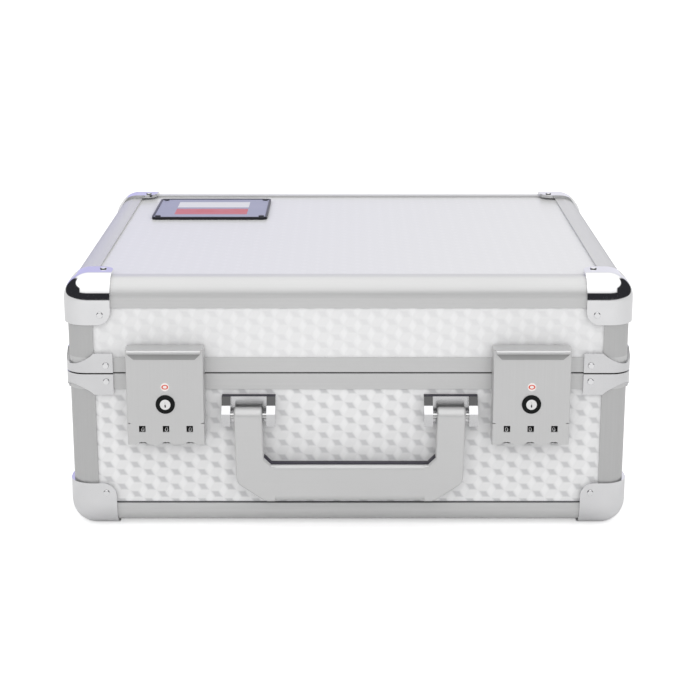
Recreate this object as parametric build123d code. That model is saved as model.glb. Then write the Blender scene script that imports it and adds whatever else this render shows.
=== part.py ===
from build123d import *
import math
import os

os.makedirs("parts", exist_ok=True)

# Whole case, in mm. Z is measured from the underside of the lower rails, Y from the middle of the case.
WIDTH = 380.0
DEPTH = 326.0
HEIGHT = 173.4
SEAM = 109.0
SEAM_GAP = 1.0
EDGE_RADIUS = 12.5

# Aluminium edge extrusions
RAIL_DEPTH = 7.0
TOP_FLANGE = 18.7
WALL_FLANGE = 15.4
LID_WALL_FLANGE = 19.2
POST_FLANGE = 18.0
SEAM_RAIL = 11.0
LID_SEAM_RAIL = 10.2
TONGUE_FROM = 5.6
TONGUE_TO = 6.9
TONGUE_H = 4.0
REBATE_FROM = 5.1
REBATE_H = 4.4

# Laminated panels held in the slots of the extrusions
PANEL_FROM = 1.5
PANEL_T = 4.0
PANEL_INSET = 12.0
PANEL_BITE = 5.0

# Chrome corner caps and the clamps beside the seam
CAP_GAP = 0.1
CAP_PROUD = 2.5
CAP_RADIUS = 17.0
CAP_REACH = 30.5
CAP_EAR_RADIUS = 9.5
CLAMP_PROUD = 2.0
CLAMP_REACH = 31.0
CLAMP_LID_H = 13.4
CLAMP_BASE_H = 14.4
CLAMP_DIP_RADIUS = 17.0
CLAMP_LID_WAIST = 5.8
CLAMP_BASE_WAIST = 7.0
RIVET_RADIUS = 2.2
RIVET_H = 0.9
CAP_RIVET_INSET = 23.6
CLAMP_RIVET_INSET = 26.2
CLAMP_RIVET_H = 5.6

# Rear hinges
HINGE_X = 108.0
HINGE_OUT = 4.2
HINGE_LEN = 62.0
HINGE_OUTER_KNUCKLE = 18.0
HINGE_GAP = 0.4
KNUCKLE_RADIUS = 3.3
HINGE_PIN_RADIUS = 1.6
HINGE_LEAF_T = 1.2
HINGE_LEAF_H = 9.6
HINGE_LEAF_LOW = 3.6
HINGE_NECK_LOW = 0.9
HINGE_NECK_HIGH = 2.6
SHAFT_GAP = 0.05

# Latches: OUT is measured forward from the face of the rails, across is measured from the latch centre.
LATCH_X = 123.0
COVER_HALF = 26.0
COVER_BOTTOM = 62.4
COVER_TOP = 129.0
COVER_FRONT = 13.6
COVER_BACK = 0.8
COVER_T = 1.2
COVER_CORNER = 1.0
COVER_SLIT_Z = 77.2
COVER_SLIT_H = 0.5
COVER_SLIT_LEN = 2.2
AXLE_OUT = 5.5
AXLE_Z = 67.6
AXLE_RADIUS = 1.5
WHEEL_RADIUS = 6.6
WHEEL_HALF = 3.5
WHEEL_PITCH = 16.0
WINDOW_Z = 73.5
WINDOW_SIZE = 4.4
NOTCH_RADIUS = 6.0
NOTCH_DEPTH = 1.9
COVER_HEEL_RADIUS = 6.6
LIP_LOW_Z = 121.7
LIP_MID_Z = 127.0
LIP_LOW_HALF = 20.2
LIP_MID_HALF = 24.6
LIP_OUT = 17.6
LIP_ROOT = 1.2
LIP_ROUND = 1.5
KEY_Z = 90.9
KEY_RING_RADIUS = 6.5
KEY_RING_T = 0.9
KEY_BARREL_RADIUS = 4.7
KEY_BARREL_BACK = 9.4
KEY_PLUG_RADIUS = 3.55
KEY_PLUG_BACK = 8.7
KEY_CAM_BACK = 7.4
KEY_CAM_HALF = 1.6
KEY_CAM_HIGH = 4.2
KEYWAY_HALF_W = 0.45
KEYWAY_HALF_H = 1.9
KEYWAY_DEPTH = 3.0
CATCH_PIVOT_OUT = 9.6
CATCH_PIVOT_Z = 82.6
CATCH_PIN_RADIUS = 1.2
CATCH_BARREL_RADIUS = 2.6
CATCH_HALF = 7.0
CATCH_ARM_OUT = 5.6
CATCH_ARM_T = 1.6
CATCH_TOOTH_OUT = 3.3
CATCH_FOOT = 2.4
CATCH_TOP = 117.3
CATCH_TOOTH_H = 2.2
KEEPER_HALF = 13.0
KEEPER_LOW = 111.0
KEEPER_HIGH = 119.3
KEEPER_OUT = 3.0
KEEPER_WINDOW_HALF = 8.2
KEEPER_WINDOW_LOW = 113.3
KEEPER_WINDOW_HIGH = 118.3
CHEEK_FROM = 22.6
CHEEK_TO = 24.4
CHEEK_BOTTOM = 63.2
CHEEK_TOP = 80.8
HOUSING_TOP = 97.0
HOUSING_T = 1.2
CHEEK_OUT = 8.5
CHEEK_ROUND = 2.5

# Bail handle: a little right of the middle, as on the real case
HANDLE_SHIFT_X = 0.9
HANDLE_T = 12.0
HANDLE_HALF = 78.5
LEG_INNER_X = 59.3
LEG_TAPER_OUT = 1.4
LEG_TAPER_IN = 1.0
LEG_EDGE = 1.6
PIVOT_OUT = 7.5
PIVOT_Z = 81.0
GRIP_LOW = 21.2
GRIP_HIGH = 47.3
GRIP_SPLIT_X = 51.0
GRIP_TOP_ROUND = 3.2
GRIP_BOTTOM_ROUND = 5.0
KNEE_WIDE = 19.4
KNEE_HIGH = 13.2
KNEE_ROUND = 8.0
INNER_KNEE = 5.0
BRACKET_X = 68.5
BRACKET_HALF = 18.2
BRACKET_LOW = 74.4
BRACKET_HIGH = 93.3
EAR_WIDTH = 6.0
EAR_TOP_OUT = 3.2
EAR_MID_OUT = 6.2
EAR_MID_Z = 87.6
EAR_OUT = 11.2
EAR_FACE_TOP = 82.9
HANDLE_PIN_RADIUS = 2.2

# Plaque on the lid
PLAQUE_X = -109.3
PLAQUE_Y = 88.3
PLAQUE_W = 90.5
PLAQUE_D = 78.5
PLAQUE_T = 2.2
PLAQUE_RIM = 1.6
PLAQUE_RECESS = 0.9
PLAQUE_FACE_T = 0.5
PLAQUE_RIVET_INSET = 4.6
PLAQUE_CORNER = 4.0

# Foam lining for slabs standing on edge
FOAM_GAP = 7.4
FOAM_TOP = 101.0
FOAM_FLOOR = 6.0
POCKET_W = 83.0
POCKET_L = 145.0
POCKET_WALL = 7.0
LID_FOAM_T = 12.0

# The shared origin is the middle of the whole part's footprint, so the body sits a little behind it.
BODY_SHIFT_Y = (LIP_OUT - (HINGE_OUT + KNUCKLE_RADIUS)) / 2
FRONT = -DEPTH / 2
WALLS = ["front", "back", "left", "right"]
SIGNS = [-1, 1]


def at(x, y, z):
    return Pos(x, y + BODY_SHIFT_Y, z + CAP_PROUD)


def save(shape, name):
    export_step(shape, "parts/" + name + ".step")


def settle(shape):
    room = Box(2 * WIDTH, 2 * DEPTH, 4 * HEIGHT)
    return (shape & room).solid()


def group(solids):
    return Compound([settle(solid) for solid in solids])


def block(x0, x1, y0, y1, z0, z1):
    middle = ((x0 + x1) / 2, (y0 + y1) / 2, (z0 + z1) / 2)
    return at(*middle) * Box(abs(x1 - x0), abs(y1 - y0), abs(z1 - z0))


def across_rod(x0, x1, out, z, radius):
    middle = ((x0 + x1) / 2, FRONT - out, z)
    return at(*middle) * Rot(0, 90, 0) * Cylinder(radius, abs(x1 - x0))


def out_rod(x, z, out0, out1, radius):
    middle = (x, FRONT - (out0 + out1) / 2, z)
    return at(*middle) * Rot(90, 0, 0) * Cylinder(radius, abs(out1 - out0))


def out_block(x0, x1, out0, out1, z0, z1):
    return block(x0, x1, FRONT - out1, FRONT - out0, z0, z1)


def rounded_block(grow, radius):
    body = Box(WIDTH + 2 * grow, DEPTH + 2 * grow, HEIGHT + 2 * grow)
    body = fillet(body.edges(), radius)
    return at(0, 0, HEIGHT / 2) * body


def wall_block(wall, d0, d1, z0, z1):
    half_w = WIDTH / 2
    half_d = DEPTH / 2
    if wall == "front":
        return block(-half_w, half_w, -half_d + d0, -half_d + d1, z0, z1)
    if wall == "back":
        return block(-half_w, half_w, half_d - d1, half_d - d0, z0, z1)
    if wall == "left":
        return block(-half_w + d0, -half_w + d1, -half_d, half_d, z0, z1)
    return block(half_w - d1, half_w - d0, -half_d, half_d, z0, z1)


def mitre(wall):
    half_w = WIDTH / 2 + 5
    half_d = DEPTH / 2 + 5
    inner = 60.0
    corners = {
        "front": [(-half_w, -half_d), (half_w, -half_d)],
        "back": [(half_w, half_d), (-half_w, half_d)],
        "left": [(-half_w, half_d), (-half_w, -half_d)],
        "right": [(half_w, -half_d), (half_w, half_d)],
    }[wall]
    inside = [(x - math.copysign(inner, x), y - math.copysign(inner, y)) for x, y in corners]
    outline = Polyline(*corners, inside[1], inside[0], close=True)
    return at(0, 0, -20) * extrude(make_face(outline), HEIGHT + 40)


# Panels
def wall_panel(wall, z0, z1):
    full = wall_block(wall, PANEL_FROM, PANEL_FROM + PANEL_T, z0, z1)
    keep_w = WIDTH / 2 - PANEL_INSET
    keep_d = DEPTH / 2 - PANEL_INSET
    if wall in ("front", "back"):
        return full & block(-keep_w, keep_w, -DEPTH, DEPTH, z0, z1)
    return full & block(-WIDTH, WIDTH, -keep_d, keep_d, z0, z1)


def flat_panel(z0):
    keep_w = WIDTH / 2 - PANEL_INSET
    keep_d = DEPTH / 2 - PANEL_INSET
    return block(-keep_w, keep_w, -keep_d, keep_d, z0, z0 + PANEL_T)


BASE_RIM = SEAM - SEAM_GAP / 2
LID_RIM = SEAM + SEAM_GAP / 2
BASE_RAIL_LOW = BASE_RIM - SEAM_RAIL
LID_RAIL_HIGH = LID_RIM + LID_SEAM_RAIL

base_panels = {wall: wall_panel(wall, PANEL_INSET, BASE_RAIL_LOW + PANEL_BITE) for wall in WALLS}
base_panels["bottom"] = flat_panel(PANEL_FROM)
lid_panels = {wall: wall_panel(wall, LID_RAIL_HIGH - PANEL_BITE, HEIGHT - PANEL_INSET) for wall in WALLS}
lid_panels["top"] = flat_panel(HEIGHT - PANEL_FROM - PANEL_T)

for wall, panel in base_panels.items():
    save(settle(panel), "base_panel_" + wall)
for wall, panel in lid_panels.items():
    save(settle(panel), "lid_panel_" + wall)

all_panels = list(base_panels.values()) + list(lid_panels.values())
outer = rounded_block(0, EDGE_RADIUS)


def trimmed(region):
    bar = region & outer
    for panel in all_panels:
        bar = bar - panel
    return bar.solid()


# Edge rails, mitred where they meet under the caps
def edge_rails(z_face, z_wall):
    rails = []
    for wall in WALLS:
        leg = wall_block(wall, 0, RAIL_DEPTH, z_face, z_wall)
        step = math.copysign(RAIL_DEPTH, z_wall - z_face)
        flange = wall_block(wall, 0, TOP_FLANGE, z_face, z_face + step)
        rails.append(trimmed((leg + flange) & mitre(wall)))
    return rails


# Rails either side of the seam: a tongue on the base stands inside the rim of the lid.
def base_seam_rails():
    rails = []
    for wall in WALLS:
        rail = wall_block(wall, 0, RAIL_DEPTH, BASE_RAIL_LOW, BASE_RIM)
        tongue = wall_block(wall, TONGUE_FROM, TONGUE_TO, BASE_RIM - 1, BASE_RIM + TONGUE_H)
        rails.append(trimmed((rail + tongue) & mitre(wall)))
    return rails


def lid_seam_rails():
    rails = []
    for wall in WALLS:
        rail = wall_block(wall, 0, RAIL_DEPTH, LID_RIM, LID_RAIL_HIGH)
        rebate = wall_block(wall, REBATE_FROM, RAIL_DEPTH + 1, LID_RIM - 1, LID_RIM + REBATE_H)
        rails.append(trimmed((rail & mitre(wall)) - rebate))
    return rails


# Upright posts at the four corners
def posts(z0, z1):
    found = []
    for sx in SIGNS:
        for sy in SIGNS:
            x_out = sx * WIDTH / 2
            y_out = sy * DEPTH / 2
            x_in = x_out - sx * POST_FLANGE
            y_in = y_out - sy * POST_FLANGE
            x_leg = x_out - sx * RAIL_DEPTH
            y_leg = y_out - sy * RAIL_DEPTH
            square = block(x_in, x_out, y_in, y_out, z0, z1)
            square = square - block(x_in - sx, x_leg, y_in - sy, y_leg, z0 - 1, z1 + 1)
            found.append(trimmed(square))
    return found


save(group(edge_rails(0, WALL_FLANGE)), "base_bottom_rails")
save(group(base_seam_rails()), "base_seam_rails")
save(group(posts(WALL_FLANGE, BASE_RAIL_LOW)), "base_posts")
save(group(edge_rails(HEIGHT, HEIGHT - LID_WALL_FLANGE)), "lid_top_rails")
save(group(lid_seam_rails()), "lid_seam_rails")
save(group(posts(LID_RAIL_HIGH, HEIGHT - LID_WALL_FLANGE)), "lid_posts")

# Corner caps: thin shells over the corners with a rounded ear on every face
cap_skin = rounded_block(CAP_PROUD, CAP_RADIUS) - rounded_block(CAP_GAP, EDGE_RADIUS + CAP_GAP)


def ear_waste():
    inner = CAP_REACH - CAP_EAR_RADIUS
    square = Pos(inner + 10, inner + 10, 3) * Box(20, 20, 14)
    return square - Pos(inner, inner, 3) * Cylinder(CAP_EAR_RADIUS, 20)


def corner_cap(sx, sy, top):
    reach = CAP_REACH
    box = Pos(reach / 2 - 4, reach / 2 - 4, reach / 2 - 4) * Box(reach + 8, reach + 8, reach + 8)
    waste_z = ear_waste()
    waste_y = Rot(90, 0, 0) * mirror(waste_z, Plane.XY)
    waste_x = Rot(0, -90, 0) * mirror(waste_z, Plane.XY)
    local = box - waste_z - waste_y - waste_x
    if sx > 0:
        local = mirror(local, Plane.YZ)
    if sy > 0:
        local = mirror(local, Plane.XZ)
    if top:
        local = mirror(local, Plane.XY)
    z = HEIGHT if top else 0
    return (cap_skin & (at(sx * WIDTH / 2, sy * DEPTH / 2, z) * local)).solid()


save(group([corner_cap(sx, sy, False) for sx in SIGNS for sy in SIGNS]), "base_corner_caps")
save(group([corner_cap(sx, sy, True) for sx in SIGNS for sy in SIGNS]), "lid_corner_caps")

# Seam clamps: wrap each corner post, narrow at the waist
clamp_skin = rounded_block(CLAMP_PROUD, EDGE_RADIUS + CLAMP_PROUD)
clamp_skin -= rounded_block(CAP_GAP, EDGE_RADIUS + CAP_GAP)


def seam_clamp(sx, sy, rim, height, waist):
    x_out = sx * (WIDTH / 2 + 6)
    y_out = sy * (DEPTH / 2 + 6)
    x_in = sx * (WIDTH / 2 - CLAMP_REACH)
    y_in = sy * (DEPTH / 2 - CLAMP_REACH)
    piece = clamp_skin & block(x_in, x_out, y_in, y_out, rim, rim + height)
    way = math.copysign(1.0, height)
    dip_z = rim + way * (waist + CLAMP_DIP_RADIUS)
    turn = 45 if sx == sy else -45
    dip = Rot(0, 0, turn) * Rot(0, 90, 0) * Cylinder(CLAMP_DIP_RADIUS, 120)
    return (piece - at(sx * WIDTH / 2, sy * DEPTH / 2, dip_z) * dip).solid()


base_clamps = []
lid_clamps = []
for sx in SIGNS:
    for sy in SIGNS:
        base_clamps.append(seam_clamp(sx, sy, BASE_RIM, -CLAMP_BASE_H, CLAMP_BASE_WAIST))
        lid_clamps.append(seam_clamp(sx, sy, LID_RIM, CLAMP_LID_H, CLAMP_LID_WAIST))
save(group(base_clamps), "base_seam_clamps")
save(group(lid_clamps), "lid_seam_clamps")


# Rivet heads
def rivet():
    head = Pos(0, 0, RIVET_H / 2) * Cylinder(RIVET_RADIUS, RIVET_H)
    return fillet(head.edges().filter_by(GeomType.CIRCLE).sort_by(Axis.Z)[-1], RIVET_H * 0.6)


def wall_rivets(inset, z, proud):
    head = rivet()
    found = []
    for s in SIGNS:
        for sy in SIGNS:
            spot = at(s * (WIDTH / 2 - inset), sy * (DEPTH / 2 + proud), z)
            found.append(spot * Rot(-90 * sy, 0, 0) * head)
        for sx in SIGNS:
            spot = at(sx * (WIDTH / 2 + proud), s * (DEPTH / 2 - inset), z)
            found.append(spot * Rot(0, 90 * sx, 0) * head)
    return found


def top_rivets(inset, proud):
    head = rivet()
    found = []
    for sx in SIGNS:
        for sy in SIGNS:
            found.append(at(sx * (WIDTH / 2 - inset), sy * (DEPTH / 2 - inset), HEIGHT + proud) * head)
    return found


base_rivets = wall_rivets(CAP_RIVET_INSET, CAP_RIVET_INSET, CAP_PROUD)
base_rivets += wall_rivets(CLAMP_RIVET_INSET, SEAM - CLAMP_RIVET_H, CLAMP_PROUD)
lid_rivets = wall_rivets(CAP_RIVET_INSET, HEIGHT - CAP_RIVET_INSET, CAP_PROUD)
lid_rivets += wall_rivets(CLAMP_RIVET_INSET, SEAM + CLAMP_RIVET_H, CLAMP_PROUD)
lid_rivets += top_rivets(CAP_RIVET_INSET, CAP_PROUD)
save(group(base_rivets), "base_rivets")
save(group(lid_rivets), "lid_rivets")

# Rear hinges: two base knuckles outside one lid knuckle on a fixed pin
HINGE_Y = DEPTH / 2 + HINGE_OUT


def hinge_rod(x0, x1, radius):
    return at((x0 + x1) / 2, HINGE_Y, SEAM) * Rot(0, 90, 0) * Cylinder(radius, abs(x1 - x0))


def hinge_half(x, upper):
    half = HINGE_LEN / 2
    split = half - HINGE_OUTER_KNUCKLE
    bore = hinge_rod(x - half - 1, x + half + 1, HINGE_PIN_RADIUS + SHAFT_GAP)
    spans = [(x - split + HINGE_GAP, x + split - HINGE_GAP)]
    if not upper:
        spans = [(x - half, x - split), (x + split, x + half)]
    way = 1 if upper else -1
    back = DEPTH / 2
    leaf_low = SEAM + way * HINGE_LEAF_LOW
    neck_low = SEAM + way * HINGE_NECK_LOW
    leaf = block(x - half, x + half, back, back + HINGE_LEAF_T, leaf_low, SEAM + way * HINGE_LEAF_H)
    for x0, x1 in spans:
        web = block(x0, x1, back, back + HINGE_LEAF_T, neck_low, leaf_low + way)
        neck = block(x0, x1, back, HINGE_Y, neck_low, SEAM + way * HINGE_NECK_HIGH)
        leaf = leaf + web + neck + hinge_rod(x0, x1, KNUCKLE_RADIUS)
    return (leaf - bore).solid()


save(group([hinge_half(s * HINGE_X, False) for s in SIGNS]), "hinge_base_leaves")
save(group([hinge_half(s * HINGE_X, True) for s in SIGNS]), "hinge_lid_leaves")
hinge_pins = []
for s in SIGNS:
    hinge_pins.append(hinge_rod(s * HINGE_X - HINGE_LEN / 2, s * HINGE_X + HINGE_LEN / 2, HINGE_PIN_RADIUS))
save(group(hinge_pins), "hinge_pins")


# Latches
def cover_lip(x):
    root = COVER_FRONT - LIP_ROOT
    deep = LIP_OUT - root
    foot = at(x, FRONT - root - LIP_ROOT / 2, LIP_LOW_Z) * Rectangle(2 * LIP_LOW_HALF, LIP_ROOT)
    edge = at(x, FRONT - root - deep / 2, LIP_MID_Z) * Rectangle(2 * LIP_MID_HALF, deep)
    band = out_block(x - LIP_MID_HALF, x + LIP_MID_HALF, root, LIP_OUT, LIP_MID_Z, COVER_TOP)
    top_front = band.edges().filter_by(Axis.X).group_by(Axis.Y)[0].sort_by(Axis.Z)[-1]
    return loft([foot, edge], ruled=True) + fillet(top_front, LIP_ROUND)


def cover_windows(x):
    front = COVER_FRONT + 1
    back = COVER_FRONT - 3
    half = WINDOW_SIZE / 2
    notch_z = COVER_BOTTOM + NOTCH_DEPTH - NOTCH_RADIUS
    cuts = [out_rod(x, KEY_Z, back, front, KEY_BARREL_RADIUS)]
    for k in (-1, 0, 1):
        wheel_x = x + k * WHEEL_PITCH
        cuts.append(out_block(wheel_x - half, wheel_x + half, back, front, WINDOW_Z - half, WINDOW_Z + half))
        cuts.append(out_rod(wheel_x, notch_z, back, front, NOTCH_RADIUS))
    for s in SIGNS:
        slit_from = x + s * (COVER_HALF - COVER_SLIT_LEN)
        slit_to = x + s * (COVER_HALF + 1)
        cuts.append(out_block(slit_from, slit_to, back, front, COVER_SLIT_Z, COVER_SLIT_Z + COVER_SLIT_H))
    return cuts


def cover(x):
    shell = out_block(x - COVER_HALF, x + COVER_HALF, COVER_BACK, COVER_FRONT, COVER_BOTTOM, COVER_TOP)
    uprights = shell.edges().filter_by(Axis.Z).group_by(Axis.Y)[0]
    shell = fillet(uprights, COVER_CORNER)
    inner = COVER_HALF - COVER_T
    hollow = out_block(x - inner, x + inner, -5, COVER_FRONT - COVER_T, COVER_BOTTOM - 1, COVER_TOP - COVER_T)
    shell = shell - hollow + cover_lip(x)
    for cut in cover_windows(x):
        shell = shell - cut
    heel = out_block(x - COVER_HALF - 1, x + COVER_HALF + 1, -1, AXLE_OUT, COVER_BOTTOM - 2, AXLE_Z)
    shell = shell - (heel - across_rod(x - 30, x + 30, AXLE_OUT, AXLE_Z, COVER_HEEL_RADIUS))
    shell = shell - across_rod(x - 30, x + 30, AXLE_OUT, AXLE_Z, AXLE_RADIUS + SHAFT_GAP)
    shell = shell - across_rod(x - 30, x + 30, CATCH_PIVOT_OUT, CATCH_PIVOT_Z, CATCH_PIN_RADIUS + SHAFT_GAP)
    return shell.solid()


def key_ring(x):
    ring = out_rod(x, KEY_Z, COVER_FRONT, COVER_FRONT + KEY_RING_T, KEY_RING_RADIUS)
    ring = fillet(ring.edges().filter_by(GeomType.CIRCLE).sort_by(Axis.Y)[0], 0.5)
    ring = ring + out_rod(x, KEY_Z, KEY_BARREL_BACK, COVER_FRONT, KEY_BARREL_RADIUS - 0.02)
    return (ring - out_rod(x, KEY_Z, 0, COVER_FRONT + 5, KEY_PLUG_RADIUS + SHAFT_GAP)).solid()


def key_plug(x):
    front = COVER_FRONT + KEY_RING_T + 0.1
    plug = out_rod(x, KEY_Z, KEY_PLUG_BACK, front, KEY_PLUG_RADIUS)
    cam = out_block(x - KEY_CAM_HALF, x + KEY_CAM_HALF, KEY_CAM_BACK, KEY_PLUG_BACK + 0.2,
                    KEY_Z - KEY_CAM_HALF, KEY_Z + KEY_CAM_HIGH)
    keyway = out_block(x - KEYWAY_HALF_W, x + KEYWAY_HALF_W, front - KEYWAY_DEPTH, front + 1,
                       KEY_Z - KEYWAY_HALF_H, KEY_Z + KEYWAY_HALF_H)
    return (plug + cam - keyway).solid()


def catch(x):
    x0 = x - CATCH_HALF
    x1 = x + CATCH_HALF
    foot = CATCH_PIVOT_Z - CATCH_FOOT
    barrel = across_rod(x0, x1, CATCH_PIVOT_OUT, CATCH_PIVOT_Z, CATCH_BARREL_RADIUS)
    arm = out_block(x0, x1, CATCH_ARM_OUT, CATCH_ARM_OUT + CATCH_ARM_T, foot, CATCH_TOP)
    web = out_block(x0, x1, CATCH_ARM_OUT, CATCH_PIVOT_OUT, foot, CATCH_PIVOT_Z + CATCH_FOOT)
    tooth = out_block(x0, x1, CATCH_TOOTH_OUT, CATCH_ARM_OUT, CATCH_TOP - CATCH_TOOTH_H, CATCH_TOP)
    bore = across_rod(x - 20, x + 20, CATCH_PIVOT_OUT, CATCH_PIVOT_Z, CATCH_PIN_RADIUS + SHAFT_GAP)
    return (barrel + arm + web + tooth - bore).solid()


def keeper(x):
    plate = out_block(x - KEEPER_HALF, x + KEEPER_HALF, 0, KEEPER_OUT, KEEPER_LOW, KEEPER_HIGH)
    half = KEEPER_WINDOW_HALF
    return (plate - out_block(x - half, x + half, -1, 9, KEEPER_WINDOW_LOW, KEEPER_WINDOW_HIGH)).solid()


def housing(x):
    back = -PANEL_FROM
    plate = out_block(x - CHEEK_TO, x + CHEEK_TO, back, back + HOUSING_T, CHEEK_TOP - 4, HOUSING_TOP)
    for s in SIGNS:
        cheek = out_block(x + s * CHEEK_FROM, x + s * CHEEK_TO, back, CHEEK_OUT, CHEEK_BOTTOM, CHEEK_TOP)
        front_edges = cheek.edges().filter_by(Axis.X).group_by(Axis.Y)[0]
        plate = plate + fillet(front_edges, CHEEK_ROUND)
    return (plate - across_rod(x - 30, x + 30, AXLE_OUT, AXLE_Z, AXLE_RADIUS + SHAFT_GAP)).solid()


def dial(x):
    wheel = across_rod(x - WHEEL_HALF, x + WHEEL_HALF, AXLE_OUT, AXLE_Z, WHEEL_RADIUS)
    wheel = chamfer(wheel.edges().filter_by(GeomType.CIRCLE), 0.4)
    return (wheel - across_rod(x - 9, x + 9, AXLE_OUT, AXLE_Z, AXLE_RADIUS + SHAFT_GAP)).solid()


keepers = []
for side, s in (("left", -1), ("right", 1)):
    x = s * LATCH_X
    save(cover(x), "latch_cover_" + side)
    save(key_ring(x), "key_ring_" + side)
    save(key_plug(x), "key_plug_" + side)
    save(catch(x), "catch_" + side)
    save(housing(x), "latch_housing_" + side)
    for number, k in ((1, -1), (2, 0), (3, 1)):
        save(dial(x + k * WHEEL_PITCH), "dial_" + side + "_" + str(number))
    reach = COVER_HALF - 0.2
    axle = across_rod(x - reach, x + reach, AXLE_OUT, AXLE_Z, AXLE_RADIUS)
    pin = across_rod(x - reach, x + reach, CATCH_PIVOT_OUT, CATCH_PIVOT_Z, CATCH_PIN_RADIUS)
    save(settle(axle), "latch_axle_" + side)
    save(settle(pin), "catch_pin_" + side)
    keepers.append(keeper(x))
save(group(keepers), "keeper_plates")


# Handle: two end brackets, a leg piece at each end and the grip between them
def shifted(shape):
    return settle(Pos(HANDLE_SHIFT_X, 0, 0) * shape)


def bracket(x):
    back = -PANEL_FROM
    body = out_block(x - BRACKET_HALF, x + BRACKET_HALF, back, back + HOUSING_T, BRACKET_LOW, BRACKET_HIGH)
    profile = [(back, BRACKET_LOW), (EAR_OUT, BRACKET_LOW), (EAR_OUT, EAR_FACE_TOP),
               (EAR_MID_OUT, EAR_MID_Z), (EAR_TOP_OUT, BRACKET_HIGH), (back, BRACKET_HIGH)]
    side = make_face(Plane.YZ * Polyline(*[(FRONT - out, z) for out, z in profile], close=True))
    for s in SIGNS:
        ear_x = x + s * (BRACKET_HALF - EAR_WIDTH / 2)
        body = body + at(ear_x, 0, 0) * extrude(side, EAR_WIDTH / 2, both=True)
    return body - across_rod(x - 30, x + 30, PIVOT_OUT, PIVOT_Z, HANDLE_PIN_RADIUS + SHAFT_GAP)


# Edges round the front and back of a leg, apart from those where the grip joins on
def leg_rim(body):
    box = body.bounding_box()
    rim = []
    for edge in body.edges():
        middle = edge.center()
        flat = edge.bounding_box().size.Y < 0.01
        outside = min(middle.Y - box.min.Y, box.max.Y - middle.Y) < 0.01
        at_grip = abs(abs(middle.X) - GRIP_SPLIT_X) < 0.01
        below_top = middle.Z < PIVOT_Z + CAP_PROUD - 0.01
        if flat and outside and below_top and not at_grip:
            rim.append(edge)
    return rim


def handle_leg(s):
    outline = [
        (LEG_INNER_X, PIVOT_Z + HANDLE_T),
        (HANDLE_HALF, PIVOT_Z + HANDLE_T),
        (HANDLE_HALF - LEG_TAPER_OUT, GRIP_LOW + KNEE_HIGH),
        (HANDLE_HALF - LEG_TAPER_OUT - KNEE_WIDE, GRIP_LOW),
        (GRIP_SPLIT_X, GRIP_LOW),
        (GRIP_SPLIT_X, GRIP_HIGH),
        (LEG_INNER_X - LEG_TAPER_IN - INNER_KNEE, GRIP_HIGH),
        (LEG_INNER_X - LEG_TAPER_IN, GRIP_HIGH + INNER_KNEE),
    ]
    face = make_face(Plane.XZ * Polyline(*[(s * x, z) for x, z in outline], close=True))
    corners = [v for v in face.vertices() if abs(v.X) > GRIP_SPLIT_X + 1 and v.Z < GRIP_LOW + KNEE_HIGH + 1]
    face = fillet(corners, KNEE_ROUND)
    body = at(0, FRONT - PIVOT_OUT, 0) * extrude(face, HANDLE_T / 2, both=True)
    front = PIVOT_OUT + HANDLE_T / 2
    straight = out_block(s * 40, s * 90, PIVOT_OUT - HANDLE_T / 2, front, GRIP_LOW, PIVOT_Z)
    round_top = across_rod(s * 40, s * 90, PIVOT_OUT, PIVOT_Z, HANDLE_T / 2)
    body = (body & (straight + round_top)).solid()
    body = fillet(leg_rim(body), LEG_EDGE)
    return body - across_rod(s * 40, s * 90, PIVOT_OUT, PIVOT_Z, HANDLE_PIN_RADIUS + SHAFT_GAP)


def grip():
    half = HANDLE_T / 2
    bar = out_block(-GRIP_SPLIT_X, GRIP_SPLIT_X, PIVOT_OUT - half, PIVOT_OUT + half, GRIP_LOW, GRIP_HIGH)
    bar = fillet(bar.edges().filter_by(Axis.X).group_by(Axis.Z)[-1], GRIP_TOP_ROUND)
    return fillet(bar.edges().filter_by(Axis.X).group_by(Axis.Z)[0], GRIP_BOTTOM_ROUND)


brackets = [shifted(bracket(s * BRACKET_X)) for s in SIGNS]
handle_pins = []
for s in SIGNS:
    x = s * BRACKET_X
    pin = across_rod(x - BRACKET_HALF, x + BRACKET_HALF, PIVOT_OUT, PIVOT_Z, HANDLE_PIN_RADIUS)
    handle_pins.append(shifted(pin))
save(Compound(brackets), "handle_brackets")
save(Compound(handle_pins), "handle_pins")
save(shifted(handle_leg(-1)), "handle_leg_left")
save(shifted(handle_leg(1)), "handle_leg_right")
save(shifted(grip()), "handle_grip")

# Plaque on the lid: a dark rimmed plate with a plain face let into it
plaque_base_z = HEIGHT - PANEL_FROM
plate = block(PLAQUE_X - PLAQUE_W / 2, PLAQUE_X + PLAQUE_W / 2,
              PLAQUE_Y - PLAQUE_D / 2, PLAQUE_Y + PLAQUE_D / 2,
              plaque_base_z, plaque_base_z + PLAQUE_T)
plate = fillet(plate.edges().filter_by(Axis.Z), PLAQUE_CORNER)
face_w = PLAQUE_W / 2 - PLAQUE_RIM
face_d = PLAQUE_D / 2 - PLAQUE_RIM
recess_z = plaque_base_z + PLAQUE_T - PLAQUE_RECESS
face_z = recess_z + PLAQUE_FACE_T


def plaque_slab(high):
    slab = block(PLAQUE_X - face_w, PLAQUE_X + face_w, PLAQUE_Y - face_d, PLAQUE_Y + face_d, recess_z, high)
    return fillet(slab.edges().filter_by(Axis.Z), PLAQUE_CORNER - PLAQUE_RIM)


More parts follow.
